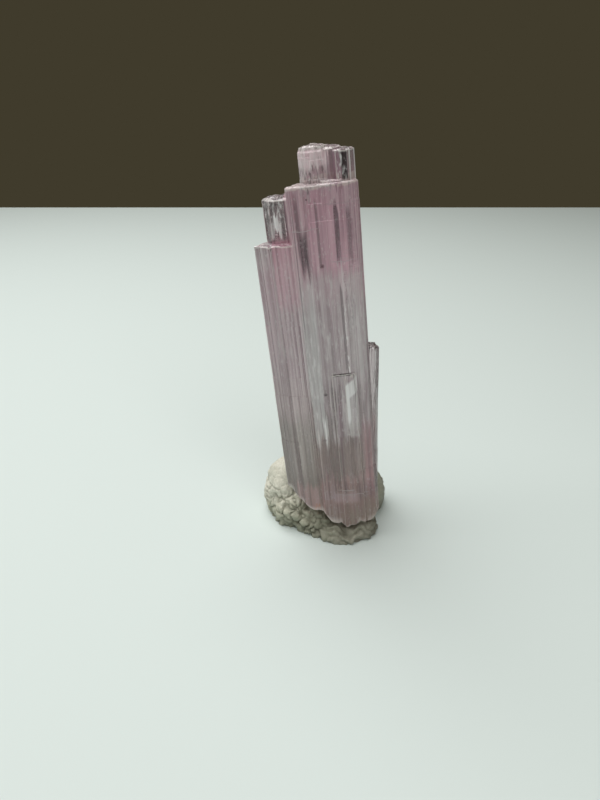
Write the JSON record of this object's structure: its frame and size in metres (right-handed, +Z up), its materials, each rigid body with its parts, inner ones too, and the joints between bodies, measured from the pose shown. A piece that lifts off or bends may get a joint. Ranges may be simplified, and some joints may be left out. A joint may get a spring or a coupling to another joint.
{
  "type": "tourmaline",
  "caption": "Lilac tourmaline specimen: parallel striated prisms grown together, leaning in a lump of kneaded mounting putty that stands flat.",
  "frame": {"origin": "near the middle of the putty's flat underside", "axes": "+Z up, +X to the right of the bundle's best side, -Y towards its viewer; the bundle leans 6.3 degrees towards -X"},
  "size_m": [0.0096, 0.0073, 0.0273],
  "materials": {
    "tourmaline": "glassy striated prism faces with worn rims",
    "putty": "matt, kneaded, cream to grey-green"
  },
  "bodies": {
    "root": {"tourmaline_crystals": "tourmaline", "mounting_putty": "putty"}
  },
  "joints": []
}
